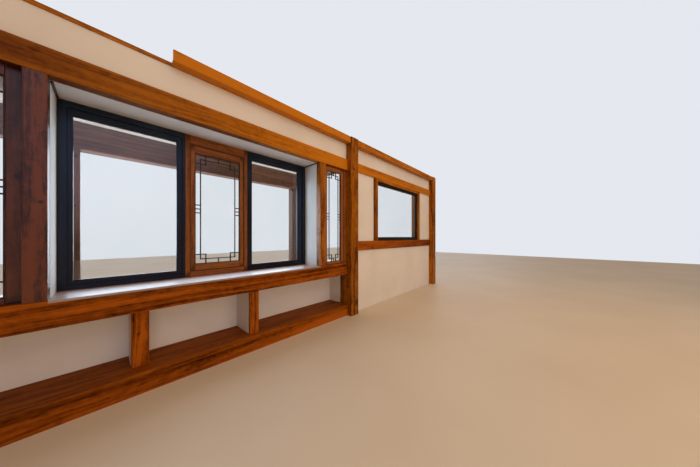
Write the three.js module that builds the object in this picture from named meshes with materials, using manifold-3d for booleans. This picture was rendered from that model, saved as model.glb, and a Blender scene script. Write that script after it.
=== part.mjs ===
// Window wall of a timber-framed house: two bays between three posts, with a window bay that stands out of the wall.
// Millimetres, +Z up. The room is on the -Y side, the garden on the +Y side, and the wall runs along X.
// The sizes below are counted from the middle of the window recess, from the lintel's front face and from the floor.
// The whole group is then moved so that the origin is the middle of the base.

import * as THREE from 'three';
import { mergeVertices } from 'three/addons/utils/BufferGeometryUtils.js';
import Module from 'manifold-3d';

const wasm = await Module();
wasm.setup();

// Bays and posts, along X
const postWidth = 165;
const windowBayHalf = 1630;
const recessHalf = 1095;
const mullionWidth = 96;
const rightBayWidth = 2900;

// Depths, along Y
const postFront = -80;
const postBack = 165;
const timberFront = 0;
const timberDepth = 85;
const plasterFront = 30;
const plasterBack = 150;
const windowFront = 342;
const windowDepth = 100;
const nicheBackFront = 405;
const nicheBackDepth = 60;
const outerBeamFront = 756;
const outerBeamDepth = 120;

// Heights, along Z
const ledgeTop = 165;
const ledgeThickness = 49;
const sillBeamBottom = 622;
const sillTop = 800;
const shelfThickness = 18;
const lintelBottom = 2210;
const lintelTop = 2380;
const plasterTop = 2616;
const capThickness = 29;
const coveHeight = 93;

// Step, struts and niche under the sill
const ledgeNose = 12;
const kickboardDepth = 40;
const shelfNose = 8;
const shelfDrip = 15;
const sillBeamBack = 165;
const strutDepth = 40;
const leftStrutStart = -721;
const leftStrutWidth = 109;
const leftStrutFront = 125;
const rightStrutStart = 171;
const rightStrutWidth = 97;
const rightStrutFront = 45;
const cheekThickness = 20;
const nicheEndThickness = 60;

// Window recess and eave
const revealThickness = 55;
const deckThickness = 40;

// Window lights in the recess
const middleLightStart = -331;
const middleLightWidth = 600;
const metalLeftJamb = 74;
const metalRightJamb = 118;
const metalMeetingStile = 63;
const metalHead = 95;
const metalSill = 70;
const metalFrameDepth = 85;
const glassSetback = 28;
const glassThickness = 6;
const woodJamb = 41;
const woodHead = 90;
const woodSill = 55;
const sashStile = 44;
const sashTopRail = 77;
const sashBottomRail = 67;
const sashSetback = 10;
const sashDepth = 40;

// Lattice of thin bars in front of the glass
const latticePitch = 48;
const latticeBar = 10;
const latticeBorder = 6;
const latticeDepth = 10;
const latticeTickPitch = 40;

// Sidelights beside the recess
const sidelightFront = 45;
const sidelightDepth = 35;
const sidelightJamb = 45;
const sidelightStile = 60;
const sidelightTopRail = 70;
const sidelightBottomRail = 40;
const sidelightGlassSetback = 15;

// Cove board along the top
const coveFront = -65;
const coveThickness = 18;
const coveStart = -487;
const capFront = 20;

// Right bay
const rightLintelHeight = 140;
const railBottom = 976;
const railTop = 1126;
const pictureCentre = 3222;
const pictureWidth = 1580;
const pictureStile = 100;
const pictureFrameFront = 20;
const pictureFrameDepth = 80;
const pictureHeadTrim = 45;
const pictureHeadTrimFront = 8;
const pictureJamb = 45;
const pictureHead = 55;
const pictureSill = 65;

// Outer frame in front of the garden
const outerBeamBottom = 1968;
const outerPostWidth = 120;
const outerFrameCentre = 72;
const outerFrameClear = 2156;

// Softened edges of the timbers
const timberChamfer = 4;
const boardChamfer = 2;

// Places worked out from the sizes above
const leftPostStart = -windowBayHalf - postWidth;
const middlePostStart = windowBayHalf;
const rightBayStart = middlePostStart + postWidth;
const cornerPostStart = rightBayStart + rightBayWidth;
const wallEnd = cornerPostStart + postWidth;
const wallTop = plasterTop + coveHeight;
const timberBack = timberFront + timberDepth;
const nicheBackEnd = nicheBackFront + nicheBackDepth;
const outerBeamBack = outerBeamFront + outerBeamDepth;
const shelfBottom = sillTop - shelfThickness;
const ledgeBottom = ledgeTop - ledgeThickness;
const deckTop = lintelBottom + deckThickness;
const rightLintelBottom = lintelTop - rightLintelHeight;
const windowHeight = lintelBottom - sillTop;
const middleLightEnd = middleLightStart + middleLightWidth;

const finishes = {
  warmTimber: { color: 0x9a5418, roughness: 0.35, metalness: 0 },
  redTimber: { color: 0x7a3a1c, roughness: 0.35, metalness: 0 },
  plaster: { color: 0xe6ddd0, roughness: 0.9, metalness: 0 },
  blackMetal: { color: 0x141416, roughness: 0.4, metalness: 0.6 },
  darkBar: { color: 0x1d1b1c, roughness: 0.5, metalness: 0.3 },
  glass: { color: 0xbfd3dc, roughness: 0.05, metalness: 0, transparent: true, opacity: 0.35 },
};

const wall = new THREE.Group();

// Adds a geometry to the wall as a named mesh with a material of its own.
function add(name, geometry, finish) {
  const mesh = new THREE.Mesh(geometry, new THREE.MeshStandardMaterial(finishes[finish]));
  mesh.name = name;
  wall.add(mesh);
  return mesh;
}

// Shape through a list of points.
function outline(points) {
  return new THREE.Shape(points.map(([a, b]) => new THREE.Vector2(a, b)));
}

// Rectangle with its four corners cut off.
function softRectangle(a, b, cut) {
  const points = [
    [cut, 0], [a - cut, 0], [a, cut], [a, b - cut],
    [a - cut, b], [cut, b], [0, b - cut], [0, cut],
  ];
  return outline(points);
}

// Hole or outline of a rectangle.
function rectangle(a0, a1, b0, b1) {
  return [[a0, b0], [a1, b0], [a1, b1], [a0, b1]];
}

function extrude(shape, depth) {
  return new THREE.ExtrudeGeometry(shape, { depth, bevelEnabled: false });
}

// Plain block between two corners.
function block(name, [x0, x1], [y0, y1], [z0, z1], finish) {
  const mesh = add(name, new THREE.BoxGeometry(x1 - x0, y1 - y0, z1 - z0), finish);
  mesh.position.set((x0 + x1) / 2, (y0 + y1) / 2, (z0 + z1) / 2);
  return mesh;
}

// Timber that runs along X, with softened long edges.
function beam(name, [x0, x1], [y0, y1], [z0, z1], finish, cut = timberChamfer) {
  const mesh = add(name, extrude(softRectangle(y1 - y0, z1 - z0, cut), x1 - x0), finish);
  mesh.quaternion.set(0.5, 0.5, 0.5, 0.5);
  mesh.position.set(x0, y0, z0);
  return mesh;
}

// Timber that stands upright, with softened long edges.
function upright(name, [x0, x1], [y0, y1], [z0, z1], finish, cut = timberChamfer) {
  const mesh = add(name, extrude(softRectangle(x1 - x0, y1 - y0, cut), z1 - z0), finish);
  mesh.position.set(x0, y0, z0);
  return mesh;
}

// Outline in Y and Z carried along X.
function profileAlongX(name, points, [x0, x1], finish) {
  const mesh = add(name, extrude(outline(points), x1 - x0), finish);
  mesh.quaternion.set(0.5, 0.5, 0.5, 0.5);
  mesh.position.set(x0, 0, 0);
  return mesh;
}

// Upright shape in X and Z carried back along Y, from y0 to y1.
function profileAlongY(name, shape, [y0, y1], finish) {
  const mesh = add(name, extrude(shape, y1 - y0), finish);
  mesh.rotation.x = Math.PI / 2;
  mesh.position.set(0, y1, 0);
  return mesh;
}

// Upright frame round an opening. The four members are left, right, foot and head.
function frameRing(name, [x0, x1], [z0, z1], members, depthRange, finish) {
  const shape = outline(rectangle(x0, x1, z0, z1));
  const hole = rectangle(x0 + members.left, x1 - members.right, z0 + members.foot, z1 - members.head);
  shape.holes.push(new THREE.Path(hole.map(([a, b]) => new THREE.Vector2(a, b))));
  profileAlongY(name, shape, depthRange, finish);
  return { x: [hole[0][0], hole[1][0]], z: [hole[0][1], hole[2][1]] };
}

// Closed solid of a geometry, for joining.
function solidOf(geometry) {
  const bare = geometry.clone();
  bare.deleteAttribute('normal');
  bare.deleteAttribute('uv');
  const merged = mergeVertices(bare);
  return new wasm.Manifold(new wasm.Mesh({
    numProp: 3,
    vertProperties: new Float32Array(merged.attributes.position.array),
    triVerts: new Uint32Array(merged.index.array),
  }));
}

function geometryOf(solid) {
  const mesh = solid.getMesh();
  const geometry = new THREE.BufferGeometry();
  geometry.setAttribute('position', new THREE.BufferAttribute(mesh.vertProperties, 3));
  geometry.setIndex(new THREE.BufferAttribute(mesh.triVerts, 1));
  geometry.computeVertexNormals();
  return geometry;
}

// Bars of one lattice as rectangles [x0, x1, z0, z1], counted from the pane's lower left corner:
// a thin border along the edges, two long uprights and two rails a pitch in from them, a small square
// in each corner, a tick in the middle of each rail and three ticks half-way up each side.
function latticeRectangles(width, height) {
  const half = latticeBar / 2;
  const inner = latticePitch;
  const corner = 2 * latticePitch;
  const bars = [
    [0, latticeBorder, 0, height], [width - latticeBorder, width, 0, height],
    [0, width, 0, latticeBorder], [0, width, height - latticeBorder, height],
  ];
  for (const x of [inner, width - inner]) {
    bars.push([x - half, x + half, inner - half, height - inner + half]);
  }
  for (const z of [inner, height - inner]) {
    bars.push([inner - half, width - inner + half, z - half, z + half]);
  }
  for (const [low, high] of [[0, corner], [height - corner, height]]) {
    const level = low === 0 ? high : low;
    bars.push([0, corner + half, level - half, level + half]);
    bars.push([width - corner - half, width, level - half, level + half]);
    bars.push([corner - half, corner + half, low, high]);
    bars.push([width - corner - half, width - corner + half, low, high]);
  }
  for (const [low, high] of [[0, inner], [height - inner, height]]) {
    bars.push([width / 2 - half, width / 2 + half, low, high]);
  }
  for (const step of [-1, 0, 1]) {
    const z = height / 2 + step * latticeTickPitch;
    bars.push([0, inner, z - half, z + half]);
    bars.push([width - inner, width, z - half, z + half]);
  }
  return bars;
}

// Lattice of a pane, joined where its bars cross.
function lattice(name, pane, y0) {
  const width = pane.x[1] - pane.x[0];
  const height = pane.z[1] - pane.z[0];
  const bars = latticeRectangles(width, height).map(([x0, x1, z0, z1]) => {
    const geometry = new THREE.BoxGeometry(x1 - x0, latticeDepth, z1 - z0);
    geometry.translate((x0 + x1) / 2, latticeDepth / 2, (z0 + z1) / 2);
    return solidOf(geometry);
  });
  const joined = bars.reduce((sum, bar) => sum.add(bar));
  const mesh = add(name, geometryOf(joined), 'darkBar');
  mesh.position.set(pane.x[0], y0, pane.z[0]);
}

function glass(name, pane, y0) {
  block(name, pane.x, [y0, y0 + glassThickness], pane.z, 'glass');
}

function buildPosts() {
  const depth = [postFront, postBack];
  const height = [0, wallTop];
  upright('left_post', [leftPostStart, -windowBayHalf], depth, height, 'redTimber');
  upright('middle_post', [middlePostStart, rightBayStart], depth, height, 'warmTimber');
  upright('corner_post', [cornerPostStart, wallEnd], depth, height, 'warmTimber');
}

// Beam under the recess. It bears the shelf behind the mullions and, in a notch, between them.
function buildSillBeam() {
  const section = outline([
    [timberFront, sillBeamBottom], [sillBeamBack, sillBeamBottom], [sillBeamBack, shelfBottom],
    [timberBack, shelfBottom], [timberBack, sillTop], [timberFront, sillTop],
  ]);
  const notch = new THREE.BoxGeometry(timberDepth, shelfThickness, 2 * recessHalf);
  notch.translate(timberFront + timberDepth / 2, shelfBottom + shelfThickness / 2, windowBayHalf);
  const notched = solidOf(extrude(section, 2 * windowBayHalf)).subtract(solidOf(notch));
  const mesh = add('sill_beam', geometryOf(notched), 'redTimber');
  mesh.quaternion.set(0.5, 0.5, 0.5, 0.5);
  mesh.position.x = -windowBayHalf;
}

// Lintel, mullions and the shelf on the floor of the recess.
function buildWindowTimbers() {
  const depth = [timberFront, timberBack];
  beam('window_lintel', [-windowBayHalf, windowBayHalf], depth, [lintelBottom, lintelTop], 'warmTimber');
  for (const [name, side, finish] of [['left_mullion', -1, 'redTimber'], ['right_mullion', 1, 'warmTimber']]) {
    const faces = [side * recessHalf, side * (recessHalf + mullionWidth)].sort((a, b) => a - b);
    upright(name, faces, depth, [sillTop, lintelBottom], finish);
  }
  const back = nicheBackEnd + shelfDrip;
  const end = windowBayHalf + nicheEndThickness;
  const half = [
    [recessHalf, timberFront - shelfNose], [recessHalf, timberBack],
    [windowBayHalf, timberBack], [windowBayHalf, postBack], [end, postBack], [end, back],
  ];
  const mirrored = half.map(([x, y]) => [-x, y]).reverse();
  const shelf = add('sill_shelf', extrude(outline([...half, ...mirrored]), shelfThickness), 'redTimber');
  shelf.position.z = shelfBottom;
}

// Step along the foot of the bay, the struts on it and the white niche behind them.
function buildNiche() {
  const bay = [-windowBayHalf, windowBayHalf];
  const between = [ledgeTop, sillBeamBottom];
  beam('ledge_plank', bay, [timberFront - ledgeNose, nicheBackFront], [ledgeBottom, ledgeTop], 'redTimber');
  beam('ledge_kickboard', bay, [timberFront, kickboardDepth], [0, ledgeBottom], 'redTimber', boardChamfer);
  const struts = [
    { side: 'left', start: leftStrutStart, width: leftStrutWidth, front: leftStrutFront, finish: 'redTimber' },
    { side: 'right', start: rightStrutStart, width: rightStrutWidth, front: rightStrutFront, finish: 'warmTimber' },
  ];
  for (const { side, start, width, front, finish } of struts) {
    const back = front + strutDepth;
    upright(`${side}_strut`, [start, start + width], [front, back], between, finish);
    const cheek = [
      [back, ledgeTop], [nicheBackFront, ledgeTop], [nicheBackFront, shelfBottom], [sillBeamBack, shelfBottom],
    ];
    if (back < sillBeamBack) {
      cheek.push([sillBeamBack, sillBeamBottom], [back, sillBeamBottom]);
    }
    profileAlongX(`${side}_cheek`, cheek, [start, start + cheekThickness], 'plaster');
  }
  block('niche_back', bay, [nicheBackFront, nicheBackEnd], [0, shelfBottom], 'plaster');
  for (const [name, side] of [['niche_left_end', -1], ['niche_right_end', 1]]) {
    const faces = [side * windowBayHalf, side * (windowBayHalf + nicheEndThickness)].sort((a, b) => a - b);
    block(name, faces, [postBack, nicheBackEnd], [0, shelfBottom], 'plaster');
  }
}

// White sides of the recess, and its ceiling, which runs out over the garden as the eave.
function buildRecess() {
  for (const [name, side] of [['left_reveal', -1], ['right_reveal', 1]]) {
    const faces = [side * recessHalf, side * (recessHalf + revealThickness)].sort((a, b) => a - b);
    block(name, faces, [timberBack, windowFront + windowDepth], [sillTop, lintelBottom], 'plaster');
  }
  block('eave_deck', [-windowBayHalf, windowBayHalf], [timberBack, outerBeamBack], [lintelBottom, deckTop], 'plaster');
}

// Black metal lights at the sides of the recess and the wooden light between them.
function buildWindows() {
  const rise = [sillTop, lintelBottom];
  const metalRange = [windowFront, windowFront + metalFrameDepth];
  const lights = [
    { name: 'left_window', x: [-recessHalf, middleLightStart], left: metalLeftJamb, right: metalMeetingStile },
    { name: 'right_window', x: [middleLightEnd, recessHalf], left: metalMeetingStile, right: metalRightJamb },
  ];
  for (const { name, x, left, right } of lights) {
    const members = { left, right, foot: metalSill, head: metalHead };
    const pane = frameRing(`${name}_frame`, x, rise, members, metalRange, 'blackMetal');
    glass(`${name}_glass`, pane, windowFront + glassSetback);
  }
  const woodMembers = { left: woodJamb, right: woodJamb, foot: woodSill, head: woodHead };
  const woodRange = [windowFront, windowFront + windowDepth];
  const middle = [middleLightStart, middleLightEnd];
  const opening = frameRing('middle_window_frame', middle, rise, woodMembers, woodRange, 'redTimber');
  const sashMembers = { left: sashStile, right: sashStile, foot: sashBottomRail, head: sashTopRail };
  const sashFront = windowFront + sashSetback;
  const sashRange = [sashFront, sashFront + sashDepth];
  const pane = frameRing('middle_sash', opening.x, opening.z, sashMembers, sashRange, 'redTimber');
  const glassFront = windowFront + glassSetback;
  lattice('middle_lattice', pane, glassFront - latticeDepth);
  glass('middle_glass', pane, glassFront);
}

// Narrow lights with lattice between the mullions and the posts.
function buildSidelights() {
  const near = recessHalf + mullionWidth;
  const jambEdge = windowBayHalf - sidelightJamb;
  const depth = [sidelightFront, sidelightFront + sidelightDepth];
  for (const [name, side, finish] of [['left_sidelight', -1, 'redTimber'], ['right_sidelight', 1, 'warmTimber']]) {
    const jamb = [side * jambEdge, side * windowBayHalf].sort((a, b) => a - b);
    upright(`${name}_jamb`, jamb, [sidelightFront - sashSetback, timberBack], [sillTop, lintelBottom], finish);
    const sash = [side * near, side * jambEdge].sort((a, b) => a - b);
    const members = {
      left: sidelightStile, right: sidelightStile, foot: sidelightBottomRail, head: sidelightTopRail,
    };
    const pane = frameRing(`${name}_sash`, sash, [sillTop, lintelBottom], members, depth, finish);
    const glassFront = sidelightFront + sidelightGlassSetback;
    lattice(`${name}_lattice`, pane, glassFront - latticeDepth);
    glass(`${name}_glass`, pane, glassFront);
  }
}

// White wall over both bays, the cap board on it and the cove board in front.
function buildWallTop() {
  const stepped = [
    [plasterFront, lintelTop], [timberBack, lintelTop], [timberBack, deckTop],
    [plasterBack, deckTop], [plasterBack, plasterTop], [plasterFront, plasterTop],
  ];
  const windowBay = [-windowBayHalf, windowBayHalf];
  const rightBay = [rightBayStart, cornerPostStart];
  profileAlongX('upper_wall_left', stepped, windowBay, 'plaster');
  block('upper_wall_right', rightBay, [plasterFront, plasterBack], [lintelTop, plasterTop], 'plaster');
  const cove = [
    [coveFront, plasterTop], [capFront, plasterTop], [capFront, plasterTop + coveThickness],
    [coveFront + coveThickness, plasterTop + coveThickness], [coveFront + coveThickness, wallTop],
    [coveFront, wallTop],
  ];
  const capRange = [plasterTop, plasterTop + capThickness];
  for (const [side, bay, start] of [['left', windowBay, coveStart], ['right', rightBay, rightBayStart]]) {
    beam(`cap_board_${side}`, bay, [capFront, postBack], capRange, 'warmTimber', boardChamfer);
    profileAlongX(`cove_board_${side}`, cove, [start, bay[1]], 'warmTimber');
  }
}

// Right bay: a picture window between a lintel and a rail, with white panels round it.
function buildRightBay() {
  const bay = [rightBayStart, cornerPostStart];
  const through = [timberFront, postBack];
  const plaster = [plasterFront, plasterBack];
  const rise = [railTop, rightLintelBottom];
  const openingStart = pictureCentre - pictureWidth / 2;
  const openingEnd = pictureCentre + pictureWidth / 2;
  beam('right_bay_lintel', bay, through, [rightLintelBottom, lintelTop], 'warmTimber');
  beam('right_bay_rail', bay, through, [railBottom, railTop], 'warmTimber');
  upright('picture_stile_left', [openingStart - pictureStile, openingStart], through, rise, 'warmTimber');
  upright('picture_stile_right', [openingEnd, openingEnd + pictureStile], through, rise, 'warmTimber');
  block('side_panel_left', [rightBayStart, openingStart - pictureStile], plaster, rise, 'plaster');
  block('side_panel_right', [openingEnd + pictureStile, cornerPostStart], plaster, rise, 'plaster');
  block('lower_wall', bay, plaster, [0, railBottom], 'plaster');
  const members = { left: pictureJamb, right: pictureJamb, foot: pictureSill, head: pictureHead };
  const depth = [pictureFrameFront, pictureFrameFront + pictureFrameDepth];
  const frameTop = rightLintelBottom - pictureHeadTrim;
  const trimDepth = [pictureHeadTrimFront, depth[1]];
  const opening = [openingStart, openingEnd];
  beam('picture_head_trim', opening, trimDepth, [frameTop, rightLintelBottom], 'warmTimber', boardChamfer);
  const pane = frameRing('picture_frame', opening, [railTop, frameTop], members, depth, 'blackMetal');
  glass('picture_glass', pane, pictureFrameFront + glassSetback);
}

// Posts and beam that carry the eave.
function buildOuterFrame() {
  const depth = [outerBeamFront, outerBeamBack];
  for (const [name, side] of [['outer_post_left', -1], ['outer_post_right', 1]]) {
    const inner = outerFrameCentre + side * outerFrameClear / 2;
    const faces = [inner, inner + side * outerPostWidth].sort((a, b) => a - b);
    upright(name, faces, depth, [0, outerBeamBottom], 'redTimber');
  }
  beam('outer_beam', [-windowBayHalf, windowBayHalf], depth, [outerBeamBottom, lintelBottom], 'redTimber');
}

buildPosts();
buildSillBeam();
buildWindowTimbers();
buildNiche();
buildRecess();
buildWindows();
buildSidelights();
buildWallTop();
buildRightBay();
buildOuterFrame();

// The origin is the middle of the base of the whole wall.
const middleX = (leftPostStart + wallEnd) / 2;
const middleY = (postFront + outerBeamBack) / 2;
wall.position.set(-middleX, -middleY, 0);

export default wall;
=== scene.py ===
import math

import bpy
import numpy as np
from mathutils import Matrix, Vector


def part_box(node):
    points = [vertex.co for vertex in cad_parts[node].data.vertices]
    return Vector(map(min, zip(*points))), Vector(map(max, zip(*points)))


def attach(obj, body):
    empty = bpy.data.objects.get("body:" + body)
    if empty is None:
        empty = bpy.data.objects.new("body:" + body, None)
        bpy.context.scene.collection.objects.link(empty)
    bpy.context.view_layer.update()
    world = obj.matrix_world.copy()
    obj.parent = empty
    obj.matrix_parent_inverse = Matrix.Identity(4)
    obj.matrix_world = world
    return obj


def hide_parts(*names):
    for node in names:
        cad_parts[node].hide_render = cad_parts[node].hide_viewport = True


# Window wall of a timber-framed house: varnished timbers, black window frames, lattices and white panels.
# Metres, +Z up, with the room on the -Y side and the garden on +Y.
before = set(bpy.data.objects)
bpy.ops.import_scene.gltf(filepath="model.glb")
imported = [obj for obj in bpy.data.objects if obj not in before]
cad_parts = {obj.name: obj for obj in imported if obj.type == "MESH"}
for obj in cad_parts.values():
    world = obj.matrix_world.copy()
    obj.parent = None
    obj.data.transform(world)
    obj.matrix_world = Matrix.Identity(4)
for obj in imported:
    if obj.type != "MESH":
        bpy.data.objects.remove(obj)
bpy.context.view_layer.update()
scene = bpy.context.scene
chance = np.random.default_rng(417)
alongX, alongY, alongZ = 0, 1, 2
print("stage: frame loaded,", len(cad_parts), "nodes")


def addObject(name, data):
    thing = bpy.data.objects.new(name, data)
    scene.collection.objects.link(thing)
    return thing


# Camera, measured on the photograph: a level view with a very wide lens.
photoView = {
    "photoWidth": 700, "photoHeight": 467, "focalPixels": 222.0, "horizonRow": 236.6, "sensorWidth": 36.0,
    "place": (-2.3755, -2.714, 1.2), "heading": (0.7371, 0.6757, 0.0), "nearest": 0.02,
}


def addCamera(view):
    data = bpy.data.cameras.new("photoCamera")
    data.sensor_width = view["sensorWidth"]
    data.lens = view["sensorWidth"] * view["focalPixels"] / view["photoWidth"]
    data.shift_y = (view["horizonRow"] - view["photoHeight"] / 2) / view["photoWidth"]
    data.clip_start = view["nearest"]
    camera = addObject("photoCamera", data)
    camera.location = view["place"]
    camera.rotation_euler = Vector(view["heading"]).to_track_quat("-Z", "Y").to_euler()
    scene.camera = camera


addCamera(photoView)


# put() adds one shader node, links the inputs that are sockets and sets the others.
def put(tree, kind, inputs=None, **settings):
    node = tree.nodes.new("ShaderNode" + kind)
    for key, value in settings.items():
        setattr(node, key, value)
    for key, value in (inputs or {}).items():
        if isinstance(value, bpy.types.NodeSocket):
            tree.links.new(value, node.inputs[key])
        else:
            node.inputs[key].default_value = value
    return node


def maths(tree, operation, *values):
    return put(tree, "Math", dict(enumerate(values)), operation=operation).outputs[0]


def plus(tree, *values):
    return maths(tree, "ADD", *values)


def minus(tree, *values):
    return maths(tree, "SUBTRACT", *values)


def times(tree, *values):
    return maths(tree, "MULTIPLY", *values)


def lengthOf(tree, first, second):
    return maths(tree, "SQRT", plus(tree, times(tree, first, first), times(tree, second, second)))


def vectorMaths(tree, operation, *values):
    return put(tree, "VectorMath", dict(enumerate(values)), operation=operation).outputs[0]


def ramp(tree, value, low, high, toLow=0.0, toHigh=1.0):
    inputs = {"Value": value, "From Min": low, "From Max": high, "To Min": toLow, "To Max": toHigh}
    return put(tree, "MapRange", inputs, interpolation_type="SMOOTHSTEP").outputs[0]


def blend(tree, share, first, second):
    return put(tree, "Mix", {0: share, 6: first, 7: second}, data_type="RGBA").outputs[2]


def noise(tree, place, stretch, detail=2.0, rough=0.5, output=0):
    stretched = vectorMaths(tree, "MULTIPLY", place, stretch)
    inputs = {"Vector": stretched, "Scale": 1.0, "Detail": detail, "Roughness": rough}
    return put(tree, "TexNoise", inputs).outputs[output]


# A group's inputs are a name and a kind, and a value for those that the materials leave alone.
def newGroup(name, takes):
    group = bpy.data.node_groups.new(name, "ShaderNodeTree")
    for label, kind, *value in takes:
        socket = group.interface.new_socket(label, in_out="INPUT", socket_type="NodeSocket" + kind)
        if value:
            socket.default_value = value[0]
    return group, group.nodes.new("NodeGroupInput").outputs


def finishGroup(group, gives):
    leave = group.nodes.new("NodeGroupOutput")
    for label, (kind, value) in gives.items():
        group.interface.new_socket(label, in_out="OUTPUT", socket_type="NodeSocket" + kind)
        group.links.new(value, leave.inputs[label])
    return group


def useGroup(tree, group, inputs):
    return put(tree, "Group", inputs, node_tree=group).outputs


# Branches run straight out from the heart of the log, each at its own place along the grain. Distance is the
# root of (dx squared + across squared), and the rings bend round a branch by
# swell * size * exp(-(distance / (bend * size)) squared).
knotShape = {
    "scatter": 0.85, "smallest": 0.45, "present": (0.30, 0.34), "outOfHeart": (0.0, 0.02),
    "rim": (1.15, 0.75), "bend": 2.6, "swell": 1.7, "rings": 4.0,
}


def makeBranchKnots(shape):
    tree, take = newGroup("branchKnots", [("Place", "Vector"), ("Spacing", "Float", 0.42), ("Size", "Float")])
    parts = put(tree, "SeparateXYZ", {0: take["Place"]}).outputs
    cellPlace = maths(tree, "DIVIDE", parts[0], take["Spacing"])
    spread = {"W": cellPlace, "Scale": 1.0, "Randomness": shape["scatter"]}
    cell = put(tree, "TexVoronoi", spread, voronoi_dimensions="1D")
    draw = put(tree, "SeparateColor", {0: cell.outputs["Color"]}).outputs
    dx = minus(tree, parts[0], times(tree, cell.outputs["W"], take["Spacing"]))
    turn = times(tree, draw[0], math.tau)
    cosTurn = maths(tree, "COSINE", turn)
    sinTurn = maths(tree, "SINE", turn)
    outAlong = plus(tree, times(tree, parts[1], cosTurn), times(tree, parts[2], sinTurn))
    across = minus(tree, times(tree, parts[1], sinTurn), times(tree, parts[2], cosTurn))
    distance = lengthOf(tree, dx, across)
    size = times(tree, take["Size"], plus(tree, draw[1], shape["smallest"]))
    reached = ramp(tree, outAlong, *shape["outOfHeart"])
    grown = times(tree, reached, ramp(tree, draw[2], *shape["present"]))
    reach = maths(tree, "DIVIDE", distance, size)
    inside = ramp(tree, reach, *shape["rim"])
    away = maths(tree, "DIVIDE", reach, shape["bend"])
    bell = maths(tree, "EXPONENT", times(tree, times(tree, away, away), -1.0))
    swell = times(tree, times(tree, bell, size), shape["swell"])
    return finishGroup(tree, {
        "Mask": ("Float", times(tree, inside, grown)),
        "Swell": ("Float", times(tree, swell, grown)),
        "Ring": ("Float", maths(tree, "FRACT", times(tree, reach, shape["rings"]))),
    })


# Sawn timber: yearly rings are shells round a wandering heart, at radius = root of (y squared + z squared).
# Each layer moves the share of dark wood by weight * (layer - middle), and Figure is their strength. A cloud
# is its stretch in waves a metre, along the grain and both ways across it, then its detail and roughness.
figureShape = {
    "wanderStretch": (0.9, 2.2, 2.2), "wanderReach": (0.0, 0.13, 0.13), "bandDrift": 0.45,
    "bandCloud": [(1.0, 1.0, 1.0), 3.0, 0.6], "bandEdges": (0.33, 0.68), "lateRise": 2.5,
    "lateFall": (1.0, 0.9), "smearCloud": [(6.5, 17.0, 17.0), 3.0, 0.65], "smearEdges": (0.54, 0.70),
    "darkShare": 0.40,
    "clouds": {
        "fibres": [(7.0, 330.0, 330.0)], "streaks": [(2.4, 48.0, 48.0)], "stain": [(1.8, 5.0, 5.0)],
        "mottle": [(17.0, 31.0, 31.0), 4.0, 0.7],
    },
    "weights": {
        "bands": (0.60, 0.5), "late": (0.14, 0.2), "fibres": (0.40, 0.5), "streaks": (0.65, 0.5),
        "stain": (0.75, 0.5), "mottle": (1.00, 0.5),
    },
    "knotDepth": (0.62, 0.92), "fibreEdges": (0.3, 0.7), "roughness": (0.30, 0.46),
    "lateRelief": -0.35, "fibreRelief": 0.5, "knotRelief": 0.4,
}


def makeTimberFigure(branchKnots, shape):
    tree, take = newGroup("timberFigure", [
        ("Place", "Vector"), ("Tone", "Float"), ("Figure", "Float"), ("Pale Wood", "Color"),
        ("Dark Wood", "Color"), ("Knot Wood", "Color"), ("Knot Size", "Float"), ("Smears", "Float"),
        ("Band Width", "Float", 0.030), ("Ring Width", "Float", 0.0055),
    ])
    place = take["Place"]
    wander = noise(tree, place, shape["wanderStretch"], output="Color")
    centred = vectorMaths(tree, "SUBTRACT", wander, (0.5, 0.5, 0.5))
    bent = vectorMaths(tree, "ADD", place, vectorMaths(tree, "MULTIPLY", centred, shape["wanderReach"]))
    knots = useGroup(tree, branchKnots, {"Place": bent, "Size": take["Knot Size"]})
    parts = put(tree, "SeparateXYZ", {0: bent}).outputs
    radius = plus(tree, lengthOf(tree, parts[1], parts[2]), knots["Swell"])
    bandPlace = put(tree, "CombineXYZ", {
        0: times(tree, parts[0], shape["bandDrift"]),
        1: maths(tree, "DIVIDE", radius, take["Band Width"]),
        2: take["Tone"],
    }).outputs[0]
    phase = maths(tree, "FRACT", maths(tree, "DIVIDE", radius, take["Ring Width"]))
    risen = maths(tree, "POWER", phase, shape["lateRise"])
    layers = {layer: noise(tree, place, *cloud) for layer, cloud in shape["clouds"].items()}
    layers["bands"] = ramp(tree, noise(tree, bandPlace, *shape["bandCloud"]), *shape["bandEdges"])
    layers["late"] = times(tree, risen, ramp(tree, phase, *shape["lateFall"]))
    smears = ramp(tree, noise(tree, place, *shape["smearCloud"]), *shape["smearEdges"])
    amount = times(tree, smears, take["Smears"])
    for layer, (weight, middle) in shape["weights"].items():
        amount = plus(tree, amount, times(tree, minus(tree, layers[layer], middle), weight))
    toned = plus(tree, take["Tone"], times(tree, amount, take["Figure"]))
    share = put(tree, "Clamp", {0: plus(tree, toned, shape["darkShare"])}).outputs[0]
    wood = blend(tree, share, take["Pale Wood"], take["Dark Wood"])
    knotShare = times(tree, knots["Mask"], ramp(tree, knots["Ring"], 0.0, 1.0, *shape["knotDepth"]))
    fine = times(tree, layers["fibres"], shape["fibreRelief"])
    ringed = plus(tree, times(tree, layers["late"], shape["lateRelief"]), fine)
    relief = plus(tree, ringed, times(tree, knots["Mask"], shape["knotRelief"]))
    return finishGroup(tree, {
        "Color": ("Color", blend(tree, knotShare, wood, take["Knot Wood"])),
        "Roughness": ("Float", ramp(tree, layers["fibres"], *shape["fibreEdges"], *shape["roughness"])),
        "Relief": ("Float", relief),
    })


# Rounded edges where the stain is rubbed thin in patches, towards the bare wood.
rubShape = {"cloud": [(5.0, 30.0, 30.0), 3.0], "patchEdges": (0.38, 0.62)}


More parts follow.
